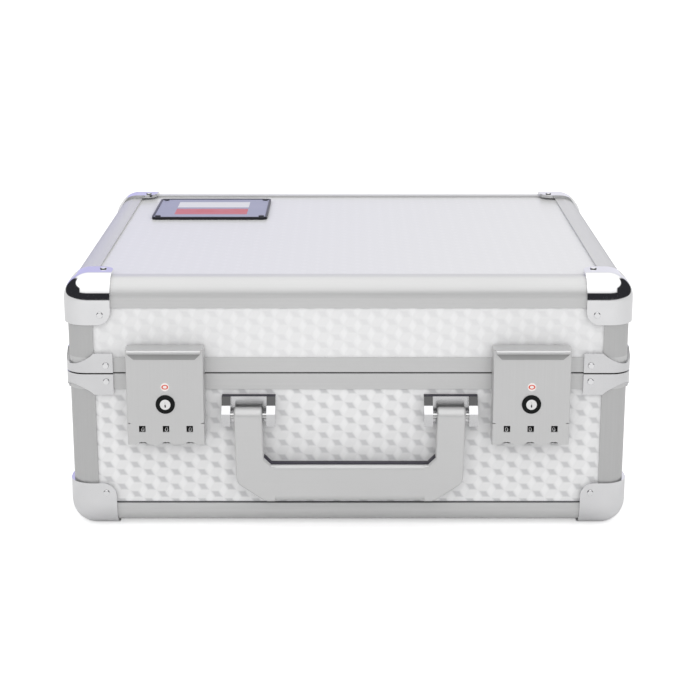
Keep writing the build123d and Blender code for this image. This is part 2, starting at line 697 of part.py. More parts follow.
save((plate - plaque_slab(plaque_base_z + PLAQUE_T)).solid(), "plaque_frame")
save(settle(plaque_slab(face_z)), "plaque_face")
plaque_rivets = []
for sx in SIGNS:
    for sy in SIGNS:
        spot_x = PLAQUE_X + sx * (PLAQUE_W / 2 - PLAQUE_RIVET_INSET)
        spot_y = PLAQUE_Y + sy * (PLAQUE_D / 2 - PLAQUE_RIVET_INSET)
        plaque_rivets.append(at(spot_x, spot_y, face_z) * rivet())
save(group(plaque_rivets), "plaque_rivets")

# Foam lining
foam_w = WIDTH / 2 - FOAM_GAP
foam_d = DEPTH / 2 - FOAM_GAP
foam = block(-foam_w, foam_w, -foam_d, foam_d, FOAM_GAP, FOAM_TOP)
for column in range(4):
    for row in SIGNS:
        px = (column - 1.5) * (POCKET_W + POCKET_WALL)
        py = row * (POCKET_L + POCKET_WALL) / 2
        foam = foam - block(px - POCKET_W / 2, px + POCKET_W / 2, py - POCKET_L / 2, py + POCKET_L / 2,
                            FOAM_GAP + FOAM_FLOOR, FOAM_TOP + 1)
save(foam.solid(), "base_foam")
lid_foam_high = HEIGHT - FOAM_GAP
lid_foam = block(-foam_w, foam_w, -foam_d, foam_d, lid_foam_high - LID_FOAM_T, lid_foam_high)
save(settle(lid_foam), "lid_foam")
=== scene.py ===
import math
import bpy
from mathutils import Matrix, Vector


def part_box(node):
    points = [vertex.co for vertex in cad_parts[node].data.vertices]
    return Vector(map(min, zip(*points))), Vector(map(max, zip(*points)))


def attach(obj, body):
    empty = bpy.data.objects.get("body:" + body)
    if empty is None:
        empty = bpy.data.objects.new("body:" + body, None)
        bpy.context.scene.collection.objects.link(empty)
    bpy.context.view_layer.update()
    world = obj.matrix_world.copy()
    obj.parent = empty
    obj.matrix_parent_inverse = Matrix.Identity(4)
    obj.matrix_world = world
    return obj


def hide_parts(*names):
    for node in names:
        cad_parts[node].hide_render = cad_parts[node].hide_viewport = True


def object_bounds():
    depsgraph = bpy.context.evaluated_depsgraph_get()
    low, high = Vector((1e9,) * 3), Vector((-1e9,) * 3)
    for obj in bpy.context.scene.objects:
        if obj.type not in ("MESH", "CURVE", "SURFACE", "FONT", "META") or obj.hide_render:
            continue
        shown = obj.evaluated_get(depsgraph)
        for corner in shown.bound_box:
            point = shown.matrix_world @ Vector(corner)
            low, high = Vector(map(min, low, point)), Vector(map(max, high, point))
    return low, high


bl_info = {
    "name": "Graded card case",
    "version": (1, 0, 0),
    "blender": (4, 5, 0),
    "location": "3D View > Sidebar > Card Case",
    "description": "Finishes, linings and studio for an aluminium-edged case for graded cards",
    "category": "Object",
}

import bmesh
import bpy
from bpy.props import FloatProperty, FloatVectorProperty, IntProperty, PointerProperty
from mathutils import Vector

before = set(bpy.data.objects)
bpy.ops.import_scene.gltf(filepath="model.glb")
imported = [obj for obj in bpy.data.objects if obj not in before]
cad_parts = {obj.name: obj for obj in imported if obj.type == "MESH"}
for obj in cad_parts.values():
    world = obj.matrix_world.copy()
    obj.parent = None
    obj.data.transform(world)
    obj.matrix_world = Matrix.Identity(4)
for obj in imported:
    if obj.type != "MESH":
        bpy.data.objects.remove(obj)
CAD_LOW, CAD_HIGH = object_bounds()
MM = 0.001
X, Y, Z = range(3)
SIDES = ("left", "right")
ROOT_3 = math.sqrt(3)

# The layout of a shader's nodes, and the places of a colour mix's sockets
NODES_IN_ROW = 10
NODE_WIDTH = 190
NODE_HEIGHT = 260
MIX_FACTOR, MIX_FIRST, MIX_SECOND, MIX_RESULT = 0, 6, 7, 2

# The room that polished metal shows, in parts of a ray's direction. A pair says where a piece of the room
# starts to fade in or out, and where it is full or gone
CARD_AHEAD = (0.05, 0.35)
CARD_ASIDE = (0.52, 0.6)
SIDE_CARD_RISE = 0.25
CARD_BLUR = 0.05
CARD_TOP_BLUR = 0.06
CEILING = (0.45, 0.8)
WALL_BEHIND = (0.45, 0.7)
WALL_LEFT = (-0.16, 0.10)
WALL_SHARE_RIGHT = 0.25


# Settings


class CardCaseFinish(bpy.types.PropertyGroup):
    """Colours and pattern sizes of the case"""

    panel_colour: FloatVectorProperty(
        name="Panel colour", description="Pearl white of the laminated panels",
        default=(0.80, 0.80, 0.805), size=3, min=0.0, max=1.0, subtype="COLOR")
    # Painted shade: the lid's top and the underside are a darker copy of the panel pearl, for the lesser
    # light on those faces
    top_colour: FloatVectorProperty(
        name="Top colour", description="Slightly darker pearl of the lid's top and the underside",
        default=(0.775, 0.775, 0.78), size=3, min=0.0, max=1.0, subtype="COLOR")
    # Painted shade: this colour is the darker rhomb of each block, painted as the shade on that face of the
    # relief
    panel_shade: FloatVectorProperty(
        name="Panel shade", description="The darker side of each printed block on the panels",
        default=(0.58, 0.58, 0.59), size=3, min=0.0, max=1.0, subtype="COLOR")
    block_side: FloatProperty(
        name="Block side", description="Side of one rhomb of the tumbling-block relief",
        default=6.16 * MM, min=0.001, max=0.03, subtype="DISTANCE", unit="LENGTH")
    block_softness: FloatProperty(
        name="Block softness", description="How gently each rhomb fades at its edges, as a share of its side",
        default=0.21, min=0.01, max=0.6)
    metal_colour: FloatVectorProperty(
        name="Extrusion colour", description="Satin anodised aluminium of the edges",
        default=(0.60, 0.60, 0.60), size=3, min=0.0, max=1.0, subtype="COLOR")
    latch_colour: FloatVectorProperty(
        name="Latch colour", description="Satin nickel of the latch covers",
        default=(0.64, 0.64, 0.64), size=3, min=0.0, max=1.0, subtype="COLOR")
    handle_colour: FloatVectorProperty(
        name="Handle colour", description="Satin silver of the handle",
        default=(0.61, 0.61, 0.61), size=3, min=0.0, max=1.0, subtype="COLOR")
    foam_colour: FloatVectorProperty(
        name="Foam colour", description="Charcoal of the foam lining",
        default=(0.04, 0.04, 0.042), size=3, min=0.0, max=1.0, subtype="COLOR")
    plaque_colour: FloatVectorProperty(
        name="Plaque colour", description="Blue-grey face of the lid plaque",
        default=(0.30, 0.31, 0.43), size=3, min=0.0, max=1.0, subtype="COLOR")


class CardCaseSizes(bpy.types.PropertyGroup):
    """Sizes of the pieces that are added to the model"""

    gasket_width: FloatProperty(
        name="Gasket width", description="Width of the rubber strip between lid and base",
        default=3.4 * MM, min=0.0005, max=0.01, subtype="DISTANCE", unit="LENGTH")
    foam_edge: FloatProperty(
        name="Foam edge", description="Rounding of the cut foam edges",
        default=1.6 * MM, min=0.0002, max=0.01, subtype="DISTANCE", unit="LENGTH")
    foam_wave: FloatProperty(
        name="Foam wave", description="Depth of the egg-crate wave in the lid foam",
        default=7.0 * MM, min=0.001, max=0.012, subtype="DISTANCE", unit="LENGTH")
    foam_cells: IntProperty(
        name="Foam cells", description="Waves of the lid foam across the case",
        default=36, min=8, max=80)
    numeral_height: FloatProperty(
        name="Numeral height", description="Height of the numbers on the dials",
        default=3.3 * MM, min=0.001, max=0.006, subtype="DISTANCE", unit="LENGTH")


class CardCaseStage(bpy.types.PropertyGroup):
    """Camera and light of the studio"""

    lens: FloatProperty(
        name="Lens", description="Focal length on a 36 mm sensor",
        default=89.5, min=20.0, max=300.0, subtype="DISTANCE_CAMERA")
    tilt: FloatProperty(
        name="Tilt", description="How far the camera looks down",
        default=math.radians(15.574), min=0.0, max=1.5, subtype="ANGLE", unit="ROTATION")
    distance: FloatProperty(
        name="Distance", description="From the camera to the middle of the case, along the floor",
        default=1.293, min=0.3, max=6.0, subtype="DISTANCE", unit="LENGTH")
    height: FloatProperty(
        name="Height", description="Camera above the underside of the rails",
        default=0.440, min=0.0, max=3.0, subtype="DISTANCE", unit="LENGTH")
    fill: FloatProperty(
        name="Fill", description="Strength of the even light from all round",
        default=0.86, min=0.0, max=2.0)
    floor_glow: FloatProperty(
        name="Floor glow", description="Lifts the floor to white in the picture without lighting the case",
        default=0.5, min=0.0, max=1.0)
    card_low: FloatProperty(
        name="Card foot", description="Height at which the dark card starts, as the sine of its elevation",
        default=-0.06, min=-1.0, max=1.0)
    card_high: FloatProperty(
        name="Card top", description="Height at which the dark card ends, as the sine of its elevation",
        default=0.42, min=-1.0, max=1.0)
    card_colour: FloatVectorProperty(
        name="Card colour", description="Darkness of the card that polished metal shows",
        default=(0.03, 0.03, 0.035), size=3, min=0.0, max=1.0, subtype="COLOR")
    overhead: FloatProperty(
        name="Overhead", description="Brightness of the soft ceiling light that only metal shows",
        default=1.6, min=0.0, max=10.0)
    wall_colour: FloatVectorProperty(
        name="Wall colour", description="Pale violet wall behind the case that only metal shows",
        default=(0.64, 0.62, 0.95), size=3, min=0.0, max=1.0, subtype="COLOR")
    key_power: FloatProperty(
        name="Key power", description="Power of the large lamp in front of the case",
        default=14.0, min=0.0, max=200.0, subtype="POWER", unit="POWER")


def finish_settings():
    return bpy.context.scene.card_case_finish


def size_settings():
    return bpy.context.scene.card_case_sizes


def stage_settings():
    return bpy.context.scene.card_case_stage


# Shader helpers


def fresh_material(name):
    material = bpy.data.materials.new(name)
    material.use_nodes = True
    tree = material.node_tree
    return material, tree, tree.nodes["Principled BSDF"]


def add_node(tree, kind, **settings):
    """Adds a node beside the one before it, in rows that end at the shader."""
    row, column = divmod(len(tree.nodes), NODES_IN_ROW)
    node = tree.nodes.new(kind)
    node.location = ((column - NODES_IN_ROW) * NODE_WIDTH, -row * NODE_HEIGHT)
    for key, value in settings.items():
        setattr(node, key, value)
    return node


def feed(tree, value, socket):
    """Links the value to the socket, or sets it there where it is a number or a colour."""
    if isinstance(value, bpy.types.NodeSocket):
        tree.links.new(value, socket)
    elif isinstance(value, (int, float)):
        socket.default_value = value
    else:
        socket.default_value = (*value[:3], 1.0)


def maths(tree, operation, *values):
    node = add_node(tree, "ShaderNodeMath", operation=operation)
    for value, socket in zip(values, node.inputs):
        feed(tree, value, socket)
    return node.outputs[0]


def product(tree, first, *factors):
    for factor in factors:
        first = maths(tree, "MULTIPLY", first, factor)
    return first


def object_point(tree):
    return add_node(tree, "ShaderNodeTexCoord").outputs["Object"]


def parted(tree, vector):
    """The three coordinates of a vector, as sockets."""
    node = add_node(tree, "ShaderNodeSeparateXYZ")
    tree.links.new(vector, node.inputs[0])
    return node.outputs


def stretched(tree, point, scale):
    node = add_node(tree, "ShaderNodeMapping")
    node.inputs["Scale"].default_value = scale
    tree.links.new(point, node.inputs["Vector"])
    return node.outputs["Vector"]


def noise(tree, vector, scale, detail=4.0):
    node = add_node(tree, "ShaderNodeTexNoise")
    node.inputs["Scale"].default_value = scale
    node.inputs["Detail"].default_value = detail
    tree.links.new(vector, node.inputs["Vector"])
    return node.outputs["Fac"]


def ranged(tree, value, low=0.0, high=1.0, start=0.3, end=0.7):
    """low up to start, high from end on, and an even slope between them."""
    node = add_node(tree, "ShaderNodeMapRange")
    node.inputs["From Min"].default_value = start
    node.inputs["From Max"].default_value = end
    node.inputs["To Min"].default_value = low
    node.inputs["To Max"].default_value = high
    tree.links.new(value, node.inputs["Value"])
    return node.outputs["Result"]


def blended(tree, factor, first, second):
    """first where factor is 0 and second where it is 1."""
    node = add_node(tree, "ShaderNodeMix", data_type="RGBA")
    feed(tree, factor, node.inputs[MIX_FACTOR])
    feed(tree, first, node.inputs[MIX_FIRST])
    feed(tree, second, node.inputs[MIX_SECOND])
    return node.outputs[MIX_RESULT]


def bumped(tree, shader, height, strength, distance):
    node = add_node(tree, "ShaderNodeBump")
    node.inputs["Strength"].default_value = strength
    node.inputs["Distance"].default_value = distance
    tree.links.new(height, node.inputs["Height"])
    tree.links.new(node.outputs["Normal"], shader.inputs["Normal"])


def surfaced(tree, shader, colour, roughness):
    tree.links.new(colour, shader.inputs["Base Color"])
    feed(tree, roughness, shader.inputs["Roughness"])


def shaded(colour, factor):
    return tuple(min(1.0, channel * factor) for channel in colour)


# Materials


def hexagon_offset(tree, across, up, side, shift):
    """Offset from a point to the nearest centre of one rectangular lattice of hexagon centres."""
    parts = []
    for value, period in ((across, 3 * side), (up, ROOT_3 * side)):
        turns = maths(tree, "DIVIDE", value, period)
        turns = maths(tree, "ADD", turns, shift + 0.5)
        part = maths(tree, "FRACT", turns)
        part = maths(tree, "SUBTRACT", part, 0.5)
        parts.append(maths(tree, "MULTIPLY", part, period))
    squares = [maths(tree, "MULTIPLY", part, part) for part in parts]
    return parts, maths(tree, "ADD", *squares)


def chosen(tree, pick, first, second):
    """first where pick is 0 and second where it is 1, for numbers."""
    gap = maths(tree, "SUBTRACT", second, first)
    gap = maths(tree, "MULTIPLY", gap, pick)
    return maths(tree, "ADD", first, gap)


def tumbling_blocks(tree, point, axes):
    """Masks of the three rhombs round each hexagon centre, and the height of the cube that they show.

    The middle of each rhomb lies at 60, 180 and 300 degrees, and its outer edges face 30 degrees to
    either side of it."""
    middles = (60, 180, 300)
    edge_turn = 30
    side = finish_settings().block_side
    fade = side * finish_settings().block_softness
    apothem = side * ROOT_3 / 2
    place = parted(tree, point)
    across = place[axes[0]]
    up = place[axes[1]]
    near, near_square = hexagon_offset(tree, across, up, side, 0.0)
    far, far_square = hexagon_offset(tree, across, up, side, 0.5)
    pick = maths(tree, "GREATER_THAN", near_square, far_square)
    local_x = chosen(tree, pick, near[0], far[0])
    local_y = chosen(tree, pick, near[1], far[1])

    def reach(degrees):
        """How far the point lies from the hexagon's centre in one direction."""
        turn = math.radians(degrees)
        along = maths(tree, "MULTIPLY", local_x, math.cos(turn))
        rise = maths(tree, "MULTIPLY", local_y, math.sin(turn))
        return maths(tree, "ADD", along, rise)

    slopes = [reach(middle) for middle in middles]
    masks = []
    for index, middle in enumerate(middles):
        others = slopes[:index] + slopes[index + 1:]
        rival = maths(tree, "MAXIMUM", *others)
        inner = maths(tree, "SUBTRACT", slopes[index], rival)
        inner = maths(tree, "MULTIPLY", inner, 1 / ROOT_3)
        edge = maths(tree, "MAXIMUM", reach(middle - edge_turn), reach(middle + edge_turn))
        outer = maths(tree, "SUBTRACT", apothem, edge)
        depth = maths(tree, "MINIMUM", inner, outer)
        masks.append(ranged(tree, depth, start=0.0, end=fade))
    steepest = maths(tree, "MAXIMUM", slopes[0], slopes[1])
    steepest = maths(tree, "MAXIMUM", steepest, slopes[2])
    return masks, maths(tree, "MULTIPLY", steepest, -1.0 / side)


def block_laminate(name, light, axes, painted_shade_share, glint_share, relief):
    """Pearl laminate with a relief of tumbling blocks, like stacked cubes seen on a corner.

    axes: the two axes along which the panel lies.
    painted_shade_share, glint_share: how far the dark rhombs' painted shade, and the bright rhombs' painted
    highlight and the dull ones' painted dimming, leave the pearl."""
    glint_most = 0.10
    painted_dim_most = 0.035
    material, tree, shader = fresh_material(name)
    point = object_point(tree)
    (leaning, upright, falling), height = tumbling_blocks(tree, point, axes)
    # Painted light: the three rhombs of each block take the tones of a cube's shaded, lit and dim faces,
    # painted shade and painted highlight over the bump
    shade = [a + (b - a) * painted_shade_share for a, b in zip(light, finish_settings().panel_shade)]
    glint = shaded(light, 1 + glint_most * glint_share)
    painted_dim = shaded(light, 1 - painted_dim_most * glint_share)
    drift = noise(tree, point, scale=9.0, detail=3.0)
    base = blended(tree, ranged(tree, drift), light, shaded(light, 0.975))
    for mask, tone in ((upright, glint), (falling, painted_dim), (leaning, shade)):
        base = blended(tree, mask, base, tone)
    grain = noise(tree, point, scale=900.0, detail=2.0)
    surfaced(tree, shader, base, ranged(tree, grain, low=0.30, high=0.40))
    shader.inputs["Coat Weight"].default_value = 0.2
    shader.inputs["Coat Roughness"].default_value = 0.2
    bumped(tree, shader, height, strength=relief, distance=1.2 * MM)
    return material


def draw_lines(tree, point, lengthwise):
    """Fine lines along one axis, from noise that is stretched along it."""
    across = 900.0
    along = 6.0
    scales = [across] * 3
    scales[lengthwise] = along
    return noise(tree, stretched(tree, point, scales), scale=1.0, detail=3.0)


def drawn_metal(name, colour, roughness, lengthwise, metallic=0.85, streak=0.06, turned_at=None, slope=None):
    """Anodised or plated metal with fine draw lines that run along one axis.

    turned_at: beyond this distance to either side the lines run front to back, as on the side rails.
    slope: foot, crown and depth of a sloping band in front of the plate that is painted darker towards its
    crown, a painted dark reflection on the latch lip."""
    material, tree, shader = fresh_material(name)
    point = object_point(tree)
    lines = draw_lines(tree, point, lengthwise)
    if turned_at is not None:
        distance = maths(tree, "ABSOLUTE", parted(tree, point)[X])
        beyond = maths(tree, "GREATER_THAN", distance, turned_at)
        lines = chosen(tree, beyond, lines, draw_lines(tree, point, Y))
    clouds = noise(tree, point, scale=14.0, detail=3.0)
    base = blended(tree, ranged(tree, lines), shaded(colour, 1 - streak), shaded(colour, 1 + streak))
    base = blended(tree, ranged(tree, clouds, high=0.5), base, shaded(colour, 0.96))
    # Painted reflection: the lip's sloping band is painted darker towards its crown, standing in for the dark
    # reflection on that facet
    if slope is not None:
        foot, crown, depth = slope
        place = parted(tree, point)
        climb = ranged(tree, place[Z], low=0.35, high=0.65, start=foot, end=crown)
        below_dark_crown = maths(tree, "LESS_THAN", place[Z], crown)
        painted_dark_front = maths(tree, "LESS_THAN", place[Y], depth)
        base = blended(tree, product(tree, below_dark_crown, painted_dark_front, climb), base, shaded(colour, 0.2))
    surfaced(tree, shader, base, ranged(tree, lines, low=roughness * 0.9, high=roughness * 1.15))
    shader.inputs["Metallic"].default_value = metallic
    bumped(tree, shader, lines, strength=0.05, distance=0.1 * MM)
    return material


def polished_metal(name, colour, roughness, painted_dark_from=None):
    """Chrome or bright plate with faint hairlines and handling marks.

    painted_dark_from: height and depth from which the upper slopes are painted darker, a painted dark
    reflection on the bracket ears."""
    wear = 0.05
    material, tree, shader = fresh_material(name)
    point = object_point(tree)
    marks = noise(tree, point, scale=60.0, detail=6.0)
    hair = noise(tree, stretched(tree, point, (1500, 60, 1500)), scale=1.0, detail=2.0)
    tone = blended(tree, ranged(tree, marks), colour, shaded(colour, 1 - wear))
    # Painted reflection: the upper slopes are painted dark, standing in for the dark reflection on the ear
    # facets
    if painted_dark_from is not None:
        height, depth = painted_dark_from
        place = parted(tree, point)
        high = maths(tree, "GREATER_THAN", place[Z], height)
        painted_dark_front = maths(tree, "LESS_THAN", place[Y], depth)
        tone = blended(tree, product(tree, high, painted_dark_front), tone, shaded(colour, 0.16))
    surfaced(tree, shader, tone, ranged(tree, marks, low=roughness * 0.8, high=roughness * 1.3))
    shader.inputs["Metallic"].default_value = 1.0
    bumped(tree, shader, hair, strength=0.02, distance=0.05 * MM)
    return material


def moulded_plastic(name, colour, roughness, gloss=0.25):
    """Moulded plastic or rubber with a fine grain, slightly paler where it is touched."""
    material, tree, shader = fresh_material(name)
    point = object_point(tree)
    grain = noise(tree, point, scale=1200.0, detail=2.0)
    touch = noise(tree, point, scale=40.0)
    tone = blended(tree, ranged(tree, touch), colour, shaded(colour, 1.25))
    surfaced(tree, shader, tone, ranged(tree, touch, low=roughness * 0.8, high=roughness * 1.2))
    shader.inputs["Specular IOR Level"].default_value = gloss
    bumped(tree, shader, grain, strength=0.08, distance=0.1 * MM)
    return material


def cell_foam(name, colour):
    """Closed-cell foam: matt, with small open pores where it was cut."""
    material, tree, shader = fresh_material(name)
    point = object_point(tree)
    cells = add_node(tree, "ShaderNodeTexVoronoi")
    cells.inputs["Scale"].default_value = 900.0
    tree.links.new(point, cells.inputs["Vector"])
    cloud = noise(tree, point, scale=30.0, detail=5.0)
    pore_pit_and_shade = ranged(tree, cells.outputs["Distance"], start=0.1, end=0.6)
    # Painted shade: the pores are painted darker towards their middles, where the bump sinks them
    tone = blended(tree, pore_pit_and_shade, shaded(colour, 0.6), shaded(colour, 1.4))
    tone = blended(tree, ranged(tree, cloud, high=0.5), tone, shaded(colour, 1.8))
    surfaced(tree, shader, tone, 0.95)
    shader.inputs["Specular IOR Level"].default_value = 0.2
    bumped(tree, shader, pore_pit_and_shade, strength=0.5, distance=0.4 * MM)
    return material


def plaque_print(name, colour):
    """Satin blue-grey plate with a plain pale bar above a plain red one."""
    margin_x = 15 * MM
    margin_y = 12 * MM
    half_gap = 3 * MM
    pale_bar = (0.74, 0.74, 0.76)
    red_bar = (0.55, 0.08, 0.09)
    low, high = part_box("plaque_face")
    middle = (low + high) / 2
    half = (high - low) / 2
    material, tree, shader = fresh_material(name)
    point = object_point(tree)
    place = parted(tree, point)
    off_x = maths(tree, "SUBTRACT", place[X], middle.x)
    off_y = maths(tree, "SUBTRACT", place[Y], middle.y)
    in_x = maths(tree, "LESS_THAN", maths(tree, "ABSOLUTE", off_x), half.x - margin_x)
    in_y = maths(tree, "LESS_THAN", maths(tree, "ABSOLUTE", off_y), half.y - margin_y)
    above = maths(tree, "GREATER_THAN", off_y, half_gap)
    below = maths(tree, "LESS_THAN", off_y, -half_gap)
    cloud = noise(tree, point, scale=60.0)
    tone = blended(tree, ranged(tree, cloud), colour, shaded(colour, 1.08))
    tone = blended(tree, product(tree, above, in_x, in_y), tone, pale_bar)
    tone = blended(tree, product(tree, below, in_x, in_y), tone, red_bar)
    surfaced(tree, shader, tone, ranged(tree, cloud, low=0.3, high=0.42))
    grain = noise(tree, point, scale=1500.0, detail=2.0)
    bumped(tree, shader, grain, strength=0.06, distance=0.1 * MM)
    return material


def painted_mark(name, colour):
    """Small printed or filled-in mark."""
    material, tree, shader = fresh_material(name)
    speckle = noise(tree, object_point(tree), scale=2500.0, detail=3.0)
    tone = blended(tree, ranged(tree, speckle), colour, shaded(colour, 0.9))
    surfaced(tree, shader, tone, 0.35)
    bumped(tree, shader, speckle, strength=0.03, distance=0.05 * MM)
    return material


# Modelling helpers


def clear_selection():
    if bpy.context.object is not None and bpy.context.object.mode != "OBJECT":
        leave_edit()
    bpy.ops.object.select_all(action="DESELECT")


def activate(piece):
    clear_selection()
    piece.select_set(True)
    bpy.context.view_layer.objects.active = piece


def open_edit(piece, action="SELECT", kind="FACE"):
    """Opens the piece in edit mode, with all of it or nothing of it selected."""
    activate(piece)
    bpy.ops.object.mode_set(mode="EDIT")
    bpy.ops.mesh.select_mode(type=kind)
    bpy.ops.mesh.select_all(action=action)


def leave_edit():
    bpy.ops.object.mode_set(mode="OBJECT")


def extruded(*way):
    """Extrudes the faces or edges that are selected in edit mode, and moves them."""
    bpy.ops.mesh.extrude_region_move(TRANSFORM_OT_translate={"value": way})


def settle(piece, name):
    """Puts the piece's place, turn and scale into its mesh, and names it."""
    activate(piece)
    bpy.ops.object.transform_apply(location=True, rotation=True, scale=True)
    piece.name = name
    piece.data.name = name
    return piece


def box_between(name, low, high):
    clear_selection()
    middle = [(a + b) / 2 for a, b in zip(low, high)]
    bpy.ops.mesh.primitive_cube_add(size=1.0, location=middle)
    piece = bpy.context.active_object
    piece.scale = [b - a for a, b in zip(low, high)]
    return settle(piece, name)


def pick_faces(piece, test):
    """Selects in edit mode the faces whose middle and normal pass the test."""
    open_edit(piece, "DESELECT")
    mesh = bmesh.from_edit_mesh(piece.data)
    picked = [face for face in mesh.faces if test(face.calc_center_median(), face.normal)]
    for face in picked:
        face.select_set(True)
    bmesh.update_edit_mesh(piece.data)
    if not picked:
        raise RuntimeError(piece.name + ": no face was picked")


def cut_across(piece, point, normal, drop=False):
    """Cuts the piece along a plane. With drop, the side that the normal points to is taken off."""
    open_edit(piece)
    bpy.ops.mesh.bisect(plane_co=point, plane_no=normal, clear_outer=drop, use_fill=drop)
    leave_edit()


def outward(piece):
    """Merges doubled points and turns the faces outwards."""
    open_edit(piece)
    bpy.ops.mesh.remove_doubles(threshold=1e-6)
    bpy.ops.mesh.normals_make_consistent(inside=False)
    leave_edit()


def smoothed(piece, degrees=35):
    activate(piece)
    bpy.ops.object.shade_smooth_by_angle(angle=math.radians(degrees))


def applied(piece, kind, **settings):
    activate(piece)
    modifier = piece.modifiers.new(kind.title(), kind)
    for key, value in settings.items():
        setattr(modifier, key, value)
    bpy.ops.object.modifier_apply(modifier=modifier.name)


def dress(piece, material, body, slot, *replaced):
    piece.data.materials.clear()
    piece.data.materials.append(material)
    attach(piece, body)
    if replaced:
        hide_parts(*replaced)
    return piece


def paint_nodes(material, *names):
    for name in names:
        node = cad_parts[name]
        node.data.materials.clear()
        node.data.materials.append(material)


def nodes_like(*starts):
    return [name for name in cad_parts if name.startswith(starts)]


# Pieces


class CARDCASE_OT_panels(bpy.types.Operator):
    """Give the laminated panels their pearl tumbling-block relief"""

    bl_idname = "cardcase.panels"
    bl_label = "Panels"

    def execute(self, context):
        # Painted light: each panel's share of painted shade and painted highlight on its rhombs follows how
        # the light falls on that face
        pearl = finish_settings().panel_colour
        top = finish_settings().top_colour
        front = block_laminate(
            "laminate_base_front", pearl, (X, Z), painted_shade_share=1.0, glint_share=0.5, relief=0.3)
        lid_front = block_laminate(
            "laminate_lid_front", pearl, (X, Z), painted_shade_share=0.30, glint_share=0.4, relief=0.3)
        sides = block_laminate(
            "laminate_sides", pearl, (Y, Z), painted_shade_share=0.6, glint_share=0.5, relief=0.25)
        flat = block_laminate(
            "laminate_flat", top, (X, Y), painted_shade_share=0.05, glint_share=0.12, relief=0.04)
        paint_nodes(front, "base_panel_front", "base_panel_back")
        paint_nodes(lid_front, "lid_panel_front", "lid_panel_back")
        paint_nodes(sides, "base_panel_left", "base_panel_right", "lid_panel_left", "lid_panel_right")
        paint_nodes(flat, "lid_panel_top", "base_panel_bottom")
        return {"FINISHED"}


class CARDCASE_OT_metalwork(bpy.types.Operator):
    """Finish the extrusions, corner caps, clamps, rivets and hinges"""

    bl_idname = "cardcase.metalwork"
    bl_label = "Metalwork"

    def execute(self, context):
        rail_width = 19 * MM
        colour = finish_settings().metal_colour
        turned_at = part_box("lid_top_rails")[1].x - rail_width
        # Painted light: rails and posts are lit and shaded copies of one metal colour; the posts are painted
        # darker as painted shade on the upright faces, the rails a little lighter
        rails = drawn_metal(
            "satin_rails", shaded(colour, 1.03), roughness=0.42, lengthwise=X,
            metallic=0.45, streak=0.03, turned_at=turned_at)
        paint_nodes(rails, "lid_top_rails", "lid_seam_rails", "base_seam_rails", "base_bottom_rails")
        shaded_posts = drawn_metal(
            "satin_posts", shaded(colour, 0.86), roughness=0.36, lengthwise=Z, metallic=0.55, streak=0.03)
        paint_nodes(shaded_posts, "lid_posts", "base_posts")
        chrome = polished_metal("cap_chrome", (0.80, 0.80, 0.81), roughness=0.06)
        paint_nodes(chrome, "base_corner_caps", "lid_corner_caps")
        clamps = polished_metal("clamp_plate", (0.72, 0.72, 0.73), roughness=0.16)
        paint_nodes(clamps, "base_seam_clamps", "lid_seam_clamps")
        rivets = polished_metal("rivet_plate", (0.82, 0.82, 0.83), roughness=0.1)
        paint_nodes(rivets, "base_rivets", "lid_rivets")
        hinge = drawn_metal("hinge_plate", (0.6, 0.6, 0.61), roughness=0.25, lengthwise=X)
        paint_nodes(hinge, "hinge_base_leaves", "hinge_lid_leaves", "hinge_pins")
        return {"FINISHED"}


class CARDCASE_OT_seals(bpy.types.Operator):
    """Lay thin dark strips between the base panels and the bottom rails, painted shadow for the gap there"""

    bl_idname = "cardcase.seals"
    bl_label = "Seals"

    def execute(self, context):
        sunk = 0.2 * MM
        height = 1.1 * MM
        tuck = 6.5 * MM
        proud = 0.5 * MM
        rounding = 0.25 * MM
        # Painted shadow: these dark strips stand in for the shade in the gap between panel and rail
        rubber = moulded_plastic("gap_shadow_dark", (0.10, 0.10, 0.105), roughness=0.6)
        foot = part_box("base_bottom_rails")[1].z - sunk
        crown = foot + height
        for wall in ("front", "back", "left", "right"):
            low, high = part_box("base_panel_" + wall)
            if wall in ("front", "back"):
                face = low.y if wall == "front" else high.y
                near = (low.x + tuck, face - proud, foot)
                far = (high.x - tuck, face + proud, crown)
            else:
                face = low.x if wall == "left" else high.x
                near = (face - proud, low.y + tuck, foot)
                far = (face + proud, high.y - tuck, crown)
            strip = box_between("panel_gap_shadow_" + wall, near, far)
            applied(strip, "BEVEL", width=rounding, segments=3)
            smoothed(strip)
            dress(strip, rubber, "base", "key_ring_black")
        return {"FINISHED"}


class CARDCASE_OT_latches(bpy.types.Operator):
    """Finish the latches, their keys, catches and dials"""

    bl_idname = "cardcase.latches"
    bl_label = "Latches"

    def execute(self, context):
        lip_foot = 7.3 * MM
        lip_crown = 2.1 * MM
        lip_depth = 3.7 * MM
        colour = finish_settings().latch_colour
        low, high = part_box("latch_cover_left")
        # Painted reflection: the band on the covers' finger lip is painted darker, for the dark reflection on
        # that facet
        lip_painted_dark = (high.z - lip_foot, high.z - lip_crown, low.y + lip_depth)
        cover = drawn_metal(
            "satin_nickel", colour, roughness=0.34, lengthwise=Z, metallic=0.7, streak=0.02, slope=lip_painted_dark)
        paint_nodes(cover, "latch_cover_left", "latch_cover_right")
        inner = drawn_metal("zinc_plate", (0.5, 0.5, 0.51), roughness=0.3, lengthwise=Z)
        paint_nodes(inner, *nodes_like("latch_housing", "catch_left", "catch_right", "keeper"))
        pins = polished_metal("pin_steel", (0.6, 0.6, 0.61), roughness=0.15)
        paint_nodes(pins, *nodes_like("latch_axle", "catch_pin"))
        ring = moulded_plastic("ring_black", (0.006, 0.007, 0.007), roughness=0.3, gloss=0.12)
        paint_nodes(ring, *nodes_like("key_ring"))
        plug = polished_metal("plug_bright", (0.85, 0.85, 0.85), roughness=0.14)
        paint_nodes(plug, *nodes_like("key_plug"))
        dials = moulded_plastic("dial_black", (0.012, 0.012, 0.013), roughness=0.3)
        paint_nodes(dials, *nodes_like("dial_"))
        return {"FINISHED"}


